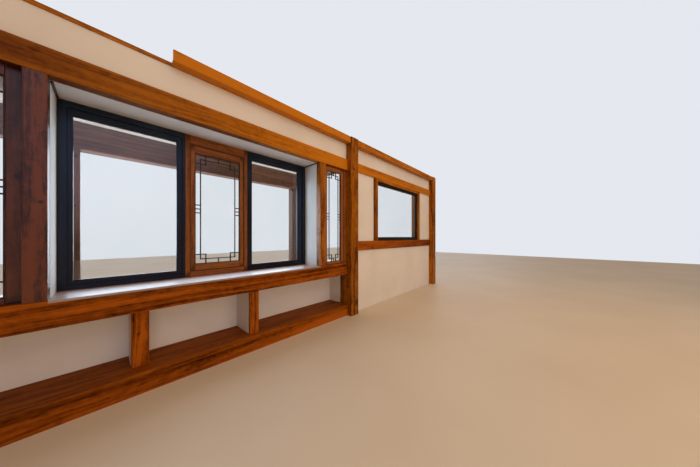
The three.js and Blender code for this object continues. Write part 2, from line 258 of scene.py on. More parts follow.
def makeRubbedEdge(shape):
    tree, take = newGroup("rubbedEdge", [
        ("Color", "Color"), ("Bare", "Color"), ("Place", "Vector"), ("Edge", "Float"), ("Amount", "Float"),
    ])
    patches = ramp(tree, noise(tree, take["Place"], *shape["cloud"]), *shape["patchEdges"])
    worn = times(tree, times(tree, take["Edge"], patches), take["Amount"])
    return finishGroup(tree, {"Color": ("Color", blend(tree, worn, take["Color"], take["Bare"]))})


# Unevenness of a coating: slow cloudy patches and a fine grit, added up as height.
gritShape = {"patchDetail": 4.0, "gritDetail": 2.0, "patchHeight": 2.0}


def makeSurfaceGrit(shape):
    tree, take = newGroup("surfaceGrit", [
        ("Place", "Vector"), ("Patch Scale", "Float"), ("Grit Scale", "Float"),
    ])

    def cloud(scale, detail):
        return put(tree, "TexNoise", {"Vector": take["Place"], "Scale": scale, "Detail": detail}).outputs[0]

    patches = cloud(take["Patch Scale"], shape["patchDetail"])
    grit = cloud(take["Grit Scale"], shape["gritDetail"])
    height = plus(tree, times(tree, patches, shape["patchHeight"]), grit)
    return finishGroup(tree, {
        "Patches": ("Float", patches), "Grit": ("Float", grit), "Height": ("Float", height),
    })


branchKnots = makeBranchKnots(knotShape)
timberFigure = makeTimberFigure(branchKnots, figureShape)
rubbedEdge = makeRubbedEdge(rubShape)
surfaceGrit = makeSurfaceGrit(gritShape)


# A material whose shader is made in its node tree, with the values of its look.
def newMaterial(name, makeShader, look):
    material = bpy.data.materials.new(name)
    material.use_nodes = True
    tree = material.node_tree
    tree.nodes.clear()
    put(tree, "OutputMaterial", {"Surface": makeShader(tree, look).outputs[0]})
    return material


def attribute(tree, label, output="Fac"):
    return put(tree, "Attribute", attribute_name=label).outputs[output]


# Varnished timber. The pattern reads the piece's own grain attribute: x along the grain, y and z from the
# heart. Tone is added to the share of dark wood, and arris is 1 on rounded edges.
def timberShader(tree, look):
    place = attribute(tree, "grainPlace", "Vector")
    figure = useGroup(tree, timberFigure, {
        "Place": place, "Tone": attribute(tree, "tone"), "Figure": attribute(tree, "figure"),
        "Pale Wood": look["pale"], "Dark Wood": look["dark"], "Knot Wood": look["knot"],
        "Knot Size": look["knotSize"], "Smears": look["smears"],
    })
    worn = useGroup(tree, rubbedEdge, {
        "Color": figure["Color"], "Bare": look["bare"], "Place": place, "Edge": attribute(tree, "arris"),
        "Amount": look["wear"],
    })
    relief = {"Height": figure["Relief"], "Strength": look["relief"], "Distance": look["reliefDepth"]}
    return put(tree, "BsdfPrincipled", {
        "Base Color": worn["Color"], "Roughness": figure["Roughness"],
        "Normal": put(tree, "Bump", relief).outputs[0],
        "Specular IOR Level": look["gloss"], "Specular Tint": look["gleam"],
        "Coat Weight": look["coat"], "Coat Roughness": look["coatRoughness"], "Coat IOR": look["coatIor"],
    })


# Every timber starts from this varnish and names what is different.
varnish = {
    "knotSize": 0.013, "wear": 0.35, "relief": 0.30, "reliefDepth": 0.0006, "gleam": (1.0, 0.60, 0.30, 1),
    "coat": 0.0, "coatRoughness": 0.20, "coatIor": 1.5,
}
warmTimberLook = {
    **varnish, "pale": (0.560, 0.185, 0.008, 1), "dark": (0.095, 0.021, 0.001, 1),
    "knot": (0.022, 0.006, 0.001, 1), "bare": (0.58, 0.24, 0.030, 1), "smears": 0.33, "gloss": 0.14,
    "gleam": (1.0, 0.62, 0.30, 1), "coat": 0.03,
}
sashTimberLook = {
    **varnish, "pale": (0.310, 0.103, 0.026, 1), "dark": (0.090, 0.028, 0.008, 1),
    "knot": (0.018, 0.006, 0.002, 1), "bare": (0.30, 0.12, 0.04, 1), "knotSize": 0.008, "smears": 0.24,
    "wear": 0.45, "relief": 0.20, "gloss": 0.20, "gleam": (1.0, 0.85, 0.75, 1), "coat": 0.06,
    "coatRoughness": 0.30,
}
timberLooks = {
    "warmTimber": warmTimberLook,
    "glossyTimber": {**warmTimberLook, "coat": 0.42},
    "redTimber": {
        **varnish, "pale": (0.420, 0.102, 0.007, 1), "dark": (0.058, 0.011, 0.001, 1),
        "knot": (0.016, 0.004, 0.001, 1), "bare": (0.42, 0.14, 0.015, 1), "smears": 0.27, "gloss": 0.05,
    },
    "darkTimber": {
        **varnish, "pale": (0.130, 0.030, 0.007, 1), "dark": (0.030, 0.007, 0.004, 1),
        "knot": (0.010, 0.003, 0.002, 1), "bare": (0.22, 0.08, 0.04, 1), "smears": 0.30, "relief": 0.25,
        "gloss": 0.25, "gleam": (1.0, 0.85, 0.80, 1), "coat": 0.50, "coatRoughness": 0.30,
    },
    "ledgeTimber": {
        **varnish, "pale": (0.310, 0.080, 0.006, 1), "dark": (0.060, 0.012, 0.001, 1),
        "knot": (0.016, 0.004, 0.001, 1), "bare": (0.36, 0.12, 0.015, 1), "smears": 0.22, "gloss": 0.02,
    },
    "sashTimber": sashTimberLook,
    "dullTimber": {
        **sashTimberLook, "pale": (0.265, 0.124, 0.078, 1), "dark": (0.086, 0.039, 0.026, 1),
        "knot": (0.018, 0.008, 0.005, 1), "bare": (0.26, 0.11, 0.06, 1), "smears": 0.20, "wear": 0.35,
        "gloss": 0.25, "coat": 0.08,
    },
    "shelfTimber": {
        **varnish, "pale": (0.400, 0.250, 0.180, 1), "dark": (0.200, 0.100, 0.065, 1),
        "knot": (0.040, 0.015, 0.006, 1), "bare": (0.50, 0.17, 0.03, 1), "knotSize": 0.010, "smears": 0.20,
        "wear": 0.85, "relief": 0.10, "gloss": 1.00, "gleam": (0.9, 0.95, 1.0, 1), "coat": 1.0,
        "coatRoughness": 0.40, "coatIor": 1.8,
    },
}
timberMaterials = {name: newMaterial(name, timberShader, look) for name, look in timberLooks.items()}


def gritOf(tree, look):
    place = put(tree, "TexCoord").outputs["Object"]
    scales = {"Patch Scale": look["patchScale"], "Grit Scale": look["gritScale"]}
    return useGroup(tree, surfaceGrit, {"Place": place, **scales})


# Clouds, roughness and normal of plaster, paint and coated metal.
def coatOf(tree, look):
    grit = gritOf(tree, look)
    relief = {"Height": grit[look["height"]], "Strength": look["relief"], "Distance": look["reliefDepth"]}
    clouds = ramp(tree, grit["Patches"], *look["cloudEdges"])
    roughness = ramp(tree, grit["Grit"], *look["gritEdges"], *look["roughness"])
    return clouds, roughness, put(tree, "Bump", relief).outputs[0]


plasterLook = {
    "pale": (0.80, 0.76, 0.70, 1), "shade": (0.74, 0.695, 0.63, 1), "patchScale": 2.2, "gritScale": 160.0,
    "height": "Height", "relief": 0.35, "reliefDepth": 0.0012, "cloudEdges": (0.32, 0.72),
    "gritEdges": (0.3, 0.7), "roughness": (0.78, 0.94),
}
# The eave's ceiling is the white plaster made darker, a painted shade on the face that looks down.
shadedCeilingLook = {
    **plasterLook, "pale": (0.56, 0.52, 0.49, 1), "shade": (0.50, 0.45, 0.42, 1), "patchScale": 3.0,
}
# The recess sides are the white plaster made darker and cooler: a painted shade with a cast of painted
# daylight.
shadedRevealLook = {**plasterLook, "pale": (0.64, 0.65, 0.64, 1), "shade": (0.58, 0.59, 0.58, 1)}


def plasterShader(tree, look):
    clouds, roughness, normal = coatOf(tree, look)
    tint = blend(tree, clouds, look["pale"], look["shade"])
    return put(tree, "BsdfPrincipled", {"Base Color": tint, "Roughness": roughness, "Normal": normal})


metalLook = {
    "deep": (0.0050, 0.0072, 0.0140, 1), "light": (0.0120, 0.0170, 0.0310, 1),
    "dust": (0.0065, 0.0025, 0.0028, 1), "patchScale": 4.0, "gritScale": 900.0, "height": "Grit",
    "relief": 0.25, "reliefDepth": 0.0002, "cloudEdges": (0.3, 0.7), "gritEdges": (0.3, 0.7),
    "roughness": (0.26, 0.38), "gleam": (0.50, 0.70, 1.0, 1), "coat": 0.10, "coatRoughness": 0.2,
}
brownMetalLook = {
    **metalLook, "deep": (0.0050, 0.0037, 0.0032, 1), "light": (0.0120, 0.0084, 0.0068, 1),
    "dust": (0.0085, 0.0060, 0.0050, 1), "roughness": (0.30, 0.42), "gleam": (0.80, 0.70, 0.60, 1),
    "coat": 0.0,
}
barLook = {
    **metalLook, "deep": (0.010, 0.007, 0.006, 1), "light": (0.026, 0.017, 0.012, 1),
    "dust": (0.018, 0.012, 0.009, 1), "patchScale": 12.0, "gritScale": 700.0, "roughness": (0.35, 0.55),
    "gleam": (1.0, 0.9, 0.8, 1), "coat": 0.0,
}


# Coated metal and bars: clouded between two colours, and browner where the tone is high.
def metalShader(tree, look):
    clouds, roughness, normal = coatOf(tree, look)
    clean = blend(tree, clouds, look["deep"], look["light"])
    return put(tree, "BsdfPrincipled", {
        "Base Color": blend(tree, attribute(tree, "tone"), clean, look["dust"]),
        "Roughness": roughness, "Normal": normal, "Specular Tint": look["gleam"],
        "Coat Weight": look["coat"], "Coat Roughness": look["coatRoughness"],
    })


# Clear pane: a thin sheet that bends and mirrors light, and lets lamps shine through.
paneLook = {
    "deep": (0.93, 0.97, 0.97, 1), "light": (0.98, 0.99, 0.99, 1), "filmCloud": [(1.6, 1.6, 1.6), 3.0],
    "filmEdges": (0.3, 0.7), "smearEdges": (0.45, 0.8), "roughness": (0.0, 0.012), "ior": 1.45,
    "transmission": 1.0, "lampTint": (0.93, 0.96, 0.96, 1),
}


def glassShader(tree, look):
    film = noise(tree, put(tree, "TexCoord").outputs["Object"], *look["filmCloud"])
    pane = put(tree, "BsdfPrincipled", {
        "Base Color": blend(tree, ramp(tree, film, *look["filmEdges"]), look["deep"], look["light"]),
        "Roughness": ramp(tree, film, *look["smearEdges"], *look["roughness"]), "IOR": look["ior"],
        "Transmission Weight": look["transmission"],
    })
    clear = put(tree, "BsdfTransparent", {0: look["lampTint"]})
    shadow = put(tree, "LightPath").outputs["Is Shadow Ray"]
    return put(tree, "MixShader", {0: shadow, 1: pane.outputs[0], 2: clear.outputs[0]})


whitePlaster = newMaterial("whitePlaster", plasterShader, plasterLook)
shadedCeilingPlaster = newMaterial("shadedCeilingPlaster", plasterShader, shadedCeilingLook)
shadedRevealPlaster = newMaterial("shadedRevealPlaster", plasterShader, shadedRevealLook)
blackMetal = newMaterial("blackMetal", metalShader, metalLook)
brownMetal = newMaterial("brownMetal", metalShader, brownMetalLook)
darkBar = newMaterial("darkBar", metalShader, barLook)
clearGlass = newMaterial("clearGlass", glassShader, paneLook)
print("stage: materials made")


# Right-angled outline with rounded corners. At each corner u points back and w on along the outline:
# centre = corner + r(u + w), point = centre - r(w cos a + u sin a), a from 0 to 90 degrees.
# The edge value is 1 in the middle of an outward arc, falls to edgeLeast at its ends and is 0 on the flats.
def roundedOutline(corners, radius, arcSteps=4, flatShares=(0.04, 0.28, 0.5, 0.72, 0.96), edgeLeast=0.35):
    corners = np.asarray(corners, float)
    radius = np.broadcast_to(radius, len(corners))[:, None]
    back = np.roll(corners, 1, axis=0) - corners
    onward = np.roll(corners, -1, axis=0) - corners
    u = back / np.linalg.norm(back, axis=1, keepdims=True)
    w = onward / np.linalg.norm(onward, axis=1, keepdims=True)
    outward = np.sign(u[:, 1] * w[:, 0] - u[:, 0] * w[:, 1])[:, None, None]
    angle = np.linspace(0, math.pi / 2, arcSteps + 1)[None, :, None]
    spoke = w[:, None] * np.cos(angle) + u[:, None] * np.sin(angle)
    arcs = (corners + radius * (u + w))[:, None] - radius[:, None] * spoke
    arcNormals = -outward * spoke
    rounding = edgeLeast + (1 - edgeLeast) * np.sin(2 * angle)
    arcEdges = np.maximum(outward, 0) * rounding * np.ones_like(spoke[..., :1])
    shares = np.asarray(flatShares, float)[None, :, None]
    flats = arcs[:, -1:] + (np.roll(arcs, -1, axis=0)[:, :1] - arcs[:, -1:]) * shares
    flatNormals = np.repeat(arcNormals[:, -1:], len(flatShares), axis=1)
    flatEdges = np.zeros_like(flats[..., :1])
    points = np.concatenate([arcs, flats], axis=1).reshape(-1, 2)
    normals = np.concatenate([arcNormals, flatNormals], axis=1).reshape(-1, 2)
    edges = np.concatenate([arcEdges, flatEdges], axis=1).reshape(-1)
    return points, normals, edges


# Unevenness of a planed face: depth times the mean of (1 + sin(stretch t + a) cos(turns s + b)) / 2.
planingPairs = [(4.1, 1), (9.7, 2), (23.0, 4)]


def planingWaves(t, s, depth):
    total = np.zeros((len(t), len(s)))
    for stretch, turns in planingPairs:
        a, b = chance.uniform(0, math.tau, 2)
        total += (1 + np.sin(stretch * t + a)[:, None] * np.cos(turns * s + b)[None, :]) / 2
    return depth * total / len(planingPairs)


# Rings of points along a timber: evenly spaced, and close together at the rounded ends, where
# along = start + r(1 - sin a) and inset = r(1 - cos a), a from 90 degrees to 0.
def ringPlaces(start, end, radius, step, endSteps=3):
    angle = np.linspace(math.pi / 2, 0, endSteps + 1)
    near = radius * (1 - np.sin(angle))
    inset = radius * (1 - np.cos(angle))
    count = max(2, int(round((end - start) / step)))
    middle = np.linspace(start + radius, end - radius, count + 1)[1:-1]
    along = np.concatenate([start + near, middle, (end - near)[::-1]])
    insets = np.concatenate([inset, np.zeros(len(middle)), inset[::-1]])
    return along, insets


def gridFaces(rows, columns):
    row, column = np.meshgrid(np.arange(rows - 1), np.arange(columns), indexing="ij")
    following = (column + 1) % columns
    a, b = row * columns + column, row * columns + following
    c, d = (row + 1) * columns + following, (row + 1) * columns + column
    return np.stack([a, b, c, d], axis=-1).reshape(-1, 4)


# What every timber starts from. Heart is how far the middle of its log lies from its own middle.
plainTimber = {
    "endArris": 0.002, "wave": 0.0, "heart": 0.06, "arcSteps": 4, "step": 0.06, "figure": 1.0,
    "underShade": 0.0, "faceDown": -0.6,
}
crossAxes = [(1, 2), (2, 0), (0, 1)]
logLength = 40


# Grain coordinates of a timber: distance along the grain plus a draw of its own, and the two distances
# from the heart of its log.
def grainOf(points, grainAxis, heart):
    first, second = crossAxes[grainAxis]
    middle = (points.min(axis=0) + points.max(axis=0)) / 2
    turn = chance.uniform(0, math.tau)
    shift = chance.uniform(-logLength, logLength)
    return np.stack([
        points[:, grainAxis] + shift,
        points[:, first] - middle[first] + heart * math.cos(turn),
        points[:, second] - middle[second] + heart * math.sin(turn),
    ], axis=1)


# An outline carried straight along an axis: point = along(t) + outline(s) - normal(s) * inset(t, s), where
# inset = share * inset of the rounded end + planing. Tone and figure are one value, or drift between two
# from start to end. Along X, a painted shade is added to the tone where the side faces down.
def carriedShell(outline, axis, start, end, look, grainAxis=None, tone=0.0, drop=None, share=1.0):
    look = {**plainTimber, **look}
    points, normals, edges = outline
    along, endInset = ringPlaces(start, end, look["endArris"], look["step"])
    if drop is not None:
        along, endInset = drop["rings"](along, endInset)
    around = np.linspace(0, math.tau, len(points), endpoint=False)
    inset = endInset[:, None] * share + planingWaves(along, around, look["wave"])
    section = points[None] - normals[None] * inset[..., None]
    if drop is not None:
        section = drop["section"](along, section)
    first, second = crossAxes[axis]
    grid = np.zeros((len(along), len(points), 3))
    grid[..., axis] = along[:, None]
    grid[..., first] = section[..., 0]
    grid[..., second] = section[..., 1]
    drift = np.interp(along, (start, end), np.broadcast_to(tone, 2))
    figure = np.interp(along, (start, end), np.broadcast_to(look["figure"], 2))
    under = look["underShade"] * (normals[:, 1] < look["faceDown"])
    vertices = grid.reshape(-1, 3)
    firstRing = np.arange(len(points))
    lastRing = (len(along) - 1) * len(points) + firstRing
    caps = [firstRing[::-1].tolist(), lastRing.tolist()]
    return {
        "points": vertices,
        "faces": gridFaces(len(along), len(points)).tolist() + caps,
        "arris": np.tile(edges, len(along)),
        "grain": grainOf(vertices, axis if grainAxis is None else grainAxis, look["heart"]),
        "tone": (drift[:, None] + under[None]).reshape(-1),
        "figure": np.repeat(figure, len(points)),
    }


# A timber that fills the box between two corners, with one radius for its edges or one for each.
def timberShell(low, high, axis, look, tone=0.0, radius=None):
    look = {**plainTimber, **look}
    first, second = crossAxes[axis]
    near, far = low[first], high[first]
    corners = [(near, low[second]), (far, low[second]), (far, high[second]), (near, high[second])]
    outline = roundedOutline(corners, look["arris"] if radius is None else radius, look["arcSteps"])
    return carriedShell(outline, axis, low[axis], high[axis], look, tone=tone)


def camel(node):
    first, *others = node.split("_")
    return first + "".join(word.capitalize() for word in others)


sharpFold = math.radians(38)  # edges that fold more than this stay sharp


# One object from closed shells, with the attributes that the materials read.
def makePiece(name, shells, material, nodes):
    offsets = np.cumsum([0] + [len(shell["points"]) for shell in shells])
    points = np.concatenate([shell["points"] for shell in shells])
    faces = []
    for shell, offset in zip(shells, offsets):
        faces += [[index + offset for index in face] for face in shell["faces"]]
    mesh = bpy.data.meshes.new(name)
    mesh.from_pydata(points.tolist(), [], faces)
    for label in ["arris", "tone", "figure"]:
        values = np.concatenate([shell[label] for shell in shells]).astype(np.float32)
        mesh.attributes.new(label, "FLOAT", "POINT").data.foreach_set("value", values)
    grain = np.concatenate([shell["grain"] for shell in shells]).astype(np.float32)
    mesh.attributes.new("grainPlace", "FLOAT_VECTOR", "POINT").data.foreach_set("vector", grain.ravel())
    mesh.shade_smooth()
    mesh.set_sharp_from_angle(angle=sharpFold)
    mesh.materials.append(material)
    piece = addObject(name, mesh)
    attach(piece, "root")
    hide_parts(*nodes)


def timberPiece(node, shells, finish):
    makePiece(camel(node), shells, timberMaterials[finish], [node])


def boxTimber(node, axis, look, finish, tone=0.0):
    low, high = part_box(node)
    timberPiece(node, [timberShell(low, high, axis, look, tone)], finish)


# Posts from floor to ceiling, the left one darker and redder.
postLook = {"arris": 0.010, "wave": 0.0020, "heart": 0.045, "endArris": 0.003}
boxTimber("left_post", alongZ, postLook, "darkTimber")
boxTimber("middle_post", alongZ, postLook, "warmTimber", tone=0.38)
boxTimber("corner_post", alongZ, postLook, "warmTimber", tone=0.20)
print("stage: posts")


# Heavy timbers of the window bay. The lintel is darker on the left, and the right mullion mirrors the garden.
# The lintel's underside is darkened by a painted shade.
lintelLook = {"arris": 0.008, "wave": 0.0016, "heart": 0.100, "underShade": 0.45, "figure": (0.42, 0.85)}
boxTimber("window_lintel", alongX, lintelLook, "warmTimber", tone=(0.54, -0.50))

mullionLook = {"arris": 0.006, "wave": 0.0012, "heart": 0.060}
boxTimber("left_mullion", alongZ, {**mullionLook, "figure": 2.2}, "darkTimber", tone=(-0.30, -0.10))
boxTimber("right_mullion", alongZ, mullionLook, "glossyTimber", tone=0.24)

strutLook = {"arris": 0.006, "wave": 0.0014, "heart": 0.050, "endArris": 0.0015, "figure": 1.6}
boxTimber("left_strut", alongZ, strutLook, "redTimber", tone=-0.02)
boxTimber("right_strut", alongZ, strutLook, "redTimber", tone=-0.12)


# Low step: the plank's nose is darker towards the left, and the board under it is darker towards its top, a
# painted shade under the nose, by topShade * height to the power of spread, with height from 0 to 1.
ledgeLook = {"arris": 0.007, "wave": 0.0012, "heart": 0.160, "tone": -0.08, "noseTone": (0.40, -0.20)}
kickboardLook = {
    "arris": 0.002, "wave": 0.0008, "heart": 0.090, "figure": 0.9, "tone": (0.08, -0.55), "topShade": 0.50,
    "spread": 1.2,
}


def ledgePlankShell(look):
    low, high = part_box("ledge_plank")
    shell = timberShell(low, high, alongX, look, look["tone"])
    x, y = shell["points"][:, 0], shell["points"][:, 1]
    nose = np.interp(x, (low.x, high.x), look["noseTone"])
    shell["tone"] += nose * (y < low.y + look["arris"])
    return shell


def kickboardShell(look):
    low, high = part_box("ledge_kickboard")
    shell = timberShell(low, high, alongX, look, look["tone"])
    height = (shell["points"][:, 2] - low.z) / (high.z - low.z)
    # Painted shade under the plank's nose.
    shell["tone"] += look["topShade"] * np.clip(height, 0, 1) ** look["spread"]
    return shell


timberPiece("ledge_plank", [ledgePlankShell(ledgeLook)], "ledgeTimber")
timberPiece("ledge_kickboard", [kickboardShell(kickboardLook)], "redTimber")


# Sill beam: a front timber and a lower one behind it. Between the mullions the upper half of the front
# one's section comes down by the thickness of the shelf on it.
sillLook = {
    "arris": 0.007, "wave": 0.0014, "heart": 0.090, "tone": 0.12, "shelfFit": 0.0006, "joint": 0.0003,
    "backArris": 0.002,
}


def sillBeamShells(look):
    low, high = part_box("sill_beam")
    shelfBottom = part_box("sill_shelf")[0].z
    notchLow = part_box("left_mullion")[1].x
    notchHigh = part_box("right_mullion")[0].x
    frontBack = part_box("left_mullion")[1].y
    fit = look["shelfFit"]
    middle = (low.z + high.z) / 2

    def addRings(along, inset):
        extra = np.array([notchLow - fit, notchLow + fit, notchHigh - fit, notchHigh + fit])
        order = np.argsort(np.concatenate([along, extra]))
        return np.concatenate([along, extra])[order], np.concatenate([inset, np.zeros(len(extra))])[order]

    def lowerTop(along, section):
        within = (along > notchLow) & (along < notchHigh)
        upper = section[..., 1] > middle
        lowered = section.copy()
        lowered[..., 1] -= np.where(within[:, None] & upper, high.z - shelfBottom, 0.0)
        return lowered

    corners = [(low.y, low.z), (frontBack, low.z), (frontBack, high.z), (low.y, high.z)]
    outline = roundedOutline(corners, look["arris"])
    drop = {"rings": addRings, "section": lowerTop}
    front = carriedShell(outline, alongX, low.x, high.x, look, tone=look["tone"], drop=drop)
    backLow = Vector((low.x, frontBack + look["joint"], low.z))
    backHigh = Vector((high.x, high.y, shelfBottom))
    back = timberShell(backLow, backHigh, alongX, look, look["tone"], look["backArris"])
    return [front, back]


timberPiece("sill_beam", sillBeamShells(sillLook), "redTimber")


# Shelf on the floor of the recess: a thin board that widens behind the mullions and the bay. Only its nose is
# fully rounded.
shelfLook = {
    "arris": 0.0012, "endArris": 0.006, "heart": 0.30, "arcSteps": 2, "step": 0.02, "tone": -0.05,
    "squareShare": 0.15, "noseDepth": 0.004,
}


def shelfShell(look):
    low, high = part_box("sill_shelf")
    beamLow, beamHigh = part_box("sill_beam")
    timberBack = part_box("left_mullion")[1].y
    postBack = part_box("middle_post")[1].y

    def halfOutline(recess, bay, end):
        behindMullion = [(recess, low.y), (recess, timberBack), (bay, timberBack)]
        return behindMullion + [(bay, postBack), (end, postBack), (end, high.y)]

    right = halfOutline(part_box("right_mullion")[0].x, beamHigh.x, high.x)
    left = halfOutline(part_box("left_mullion")[1].x, beamLow.x, low.x)
    outline = roundedOutline(right + left[::-1], look["arris"], look["arcSteps"])
    share = np.where(outline[0][:, 1] < low.y + look["noseDepth"], 1.0, look["squareShare"])
    return carriedShell(outline, alongZ, low.z, high.z, look, alongX, look["tone"], share=share)


timberPiece("sill_shelf", [shelfShell(shelfLook)], "shelfTimber")


# Thin dark battens where the white sides of the recess meet its ceiling.
battenLook = {"arris": 0.002, "heart": 0.03, "size": 0.013, "tone": 0.35}


def recessBatten(side, look):
    low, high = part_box(f"{side}_reveal")
    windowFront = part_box(f"{side}_window_frame")[0].y
    size = look["size"]
    left, right = (high.x, high.x + size) if side == "left" else (low.x - size, low.x)
    start, end = (left, low.y, high.z - size), (right, windowFront, high.z)
    shell = timberShell(start, end, alongY, look, look["tone"])
    makePiece(f"{side}RecessBatten", [shell], timberMaterials["darkTimber"], [])


for side in ["left", "right"]:
    recessBatten(side, battenLook)
print("stage: window bay timbers")


# Boards along the top: a flat cap on the white wall and an angled cove board in front of it.
coveLook = {
    "arris": 0.003, "wave": 0.0010, "heart": 0.12, "arcSteps": 3, "thickness": 0.018,
    "tones": {"left": -0.38, "right": -0.20},
}
capLook = {"arris": 0.002, "wave": 0.0006, "heart": 0.14}


def coveShell(side, look):
    low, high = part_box(f"cove_board_{side}")
    inner = look["thickness"]
    corners = [
        (low.y, low.z), (high.y, low.z), (high.y, low.z + inner), (low.y + inner, low.z + inner),
        (low.y + inner, high.z), (low.y, high.z),
    ]
    outline = roundedOutline(corners, look["arris"], look["arcSteps"])
    return carriedShell(outline, alongX, low.x, high.x, look, tone=look["tones"][side])


for side in ["left", "right"]:
    timberPiece(f"cove_board_{side}", [coveShell(side, coveLook)], "warmTimber")
    boxTimber(f"cap_board_{side}", alongX, capLook, "warmTimber")


# Timbers round the picture window in the right bay.
bayLook = {"arris": 0.007, "wave": 0.0014, "heart": 0.085}
stileLook = {"arris": 0.005, "wave": 0.0010, "heart": 0.055}
trimLook = {"arris": 0.002, "heart": 0.05}
boxTimber("right_bay_lintel", alongX, bayLook, "warmTimber", tone=-0.42)
boxTimber("right_bay_rail", alongX, bayLook, "redTimber", tone=-0.02)
for side in ["left", "right"]:
    boxTimber(f"picture_stile_{side}", alongZ, stileLook, "warmTimber", tone=0.20)
boxTimber("picture_head_trim", alongX, trimLook, "warmTimber", tone=0.25)


# Posts and beam outside that carry the eave.
outerLook = {"arris": 0.008, "wave": 0.0020, "heart": 0.045, "endArris": 0.003}
for node, axis in [("outer_post_left", alongZ), ("outer_post_right", alongZ), ("outer_beam", alongX)]:
    boxTimber(node, axis, outerLook, "dullTimber", tone=0.05)
print("stage: top boards, right bay and outer frame")


# A joined wooden frame round an opening: stiles run the full height and rails stand between them. The front
# edge towards the opening is rounded more, as a moulding, and painted shade darkens the rim and the opening's
# edges.
def joinedFrame(outerBox, openingBox, look, tone):
    low, high = outerBox
    inLow, inHigh = openingBox
    square, soft, groove = look["arris"], look["moulding"], look["groove"]
    left, right = inLow.x + look["seam"], inHigh.x - look["seam"]
    shells = []
    for axis, x0, x1, z0, z1, radius in [
        (alongZ, low.x, inLow.x, low.z, high.z, (groove, soft, square, square)),
        (alongZ, inHigh.x, high.x, low.z, high.z, (soft, groove, square, square)),
        (alongX, left, right, low.z, inLow.z, (groove, square, square, soft)),
        (alongX, left, right, inHigh.z, high.z, (soft, square, square, groove)),
    ]:
        start, end = Vector((x0, low.y, z0)), Vector((x1, high.y, z1))
        shells.append(timberShell(start, end, axis, look, tone, radius))
    for shell in shells:
        x, z = shell["points"][:, 0], shell["points"][:, 2]
        fromRim = np.minimum.reduce([x - low.x, high.x - x, z - low.z, high.z - z])
        fromOpening = np.maximum.reduce([inLow.x - x, x - inHigh.x, inLow.z - z, z - inHigh.z])
        # Painted shade in the grooves along the rim and round the opening.
        shell["tone"] += look["grime"] * ((fromRim < groove) | (fromOpening < soft))
    return shells


def framePiece(node, openingNode, look, finish, tone=0.0):
    timberPiece(node, joinedFrame(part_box(node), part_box(openingNode), look, tone), finish)


frameLook = {
    "arris": 0.002, "moulding": 0.006, "groove": 0.003, "seam": 0.0003, "endArris": 0.0008, "heart": 0.07,
    "wave": 0.0003, "grime": 0.8,
}
sashLook = {**frameLook, "moulding": 0.005, "groove": 0.005}
sidelightLooks = {
    "left": {**sashLook, "finish": "darkTimber", "tone": 0.20},
    "right": {**sashLook, "finish": "sashTimber", "tone": -0.34},
}
jambDarker = 0.05
framePiece("middle_window_frame", "middle_sash", frameLook, "sashTimber")
framePiece("middle_sash", "middle_glass", sashLook, "sashTimber")
for side, look in sidelightLooks.items():
    light = f"{side}_sidelight"
    framePiece(f"{light}_sash", f"{light}_glass", look, look["finish"], look["tone"])
    boxTimber(f"{light}_jamb", alongZ, trimLook, look["finish"], look["tone"] + jambDarker)
print("stage: wooden lights")


# Frame of one section with mitred corners. A point of the section goes to the four corners: its inset x is
# from the outer edge on the outer half of the section and from the inner edge on the inner half, so that
# members may differ in width. The tone falls from 1 at the foot to 0 at the head.
def mitredRing(low, high, widths, depth, section, radius):
    nominal = max(x for x, y in section)
    points, normals, edges = roundedOutline(section, radius, arcSteps=3, flatShares=(0.08, 0.92))
    x, y = points[::-1, 0], points[::-1, 1]
    inner = x > nominal / 2
    insets = {side: x + np.where(inner, width - nominal, 0.0) for side, width in widths.items()}
    left, right = low.x + insets["left"], high.x - insets["right"]
    foot, head = low.z + insets["foot"], high.z - insets["head"]
    away = depth + y
    grid = np.stack([
        np.stack([left, away, foot], axis=1), np.stack([right, away, foot], axis=1),
        np.stack([right, away, head], axis=1), np.stack([left, away, head], axis=1),
    ])
    count = len(x)
    faces = gridFaces(5, count) % (4 * count)  # the fifth ring is the first again
    vertices = grid.reshape(-1, 3)
    return {
        "points": vertices, "faces": faces.tolist(), "arris": np.tile(edges[::-1], 4), "grain": vertices,
        "tone": np.repeat([1.0, 1.0, 0.0, 0.0], count), "figure": np.ones(len(vertices)),
    }


# Metal lights: an outer frame, and a sash set back in it with a bead and a gasket round the pane.
metalFrameLook = {
    "outerWidths": {
        "left_window": {"left": 0.046, "right": 0.020, "foot": 0.035, "head": 0.045},
        "right_window": {"left": 0.020, "right": 0.046, "foot": 0.035, "head": 0.045},
        "picture": {"left": 0.020, "right": 0.020, "foot": 0.030, "head": 0.025},
    },
    "setback": 0.016, "sashDepth": 0.040, "sectionWidth": 0.040, "edge": 0.0012, "sashEdge": 0.0008,
    "beadWidth": 0.010, "beadStep": 0.004, "gasket": 0.003, "overlap": 0.001,
}


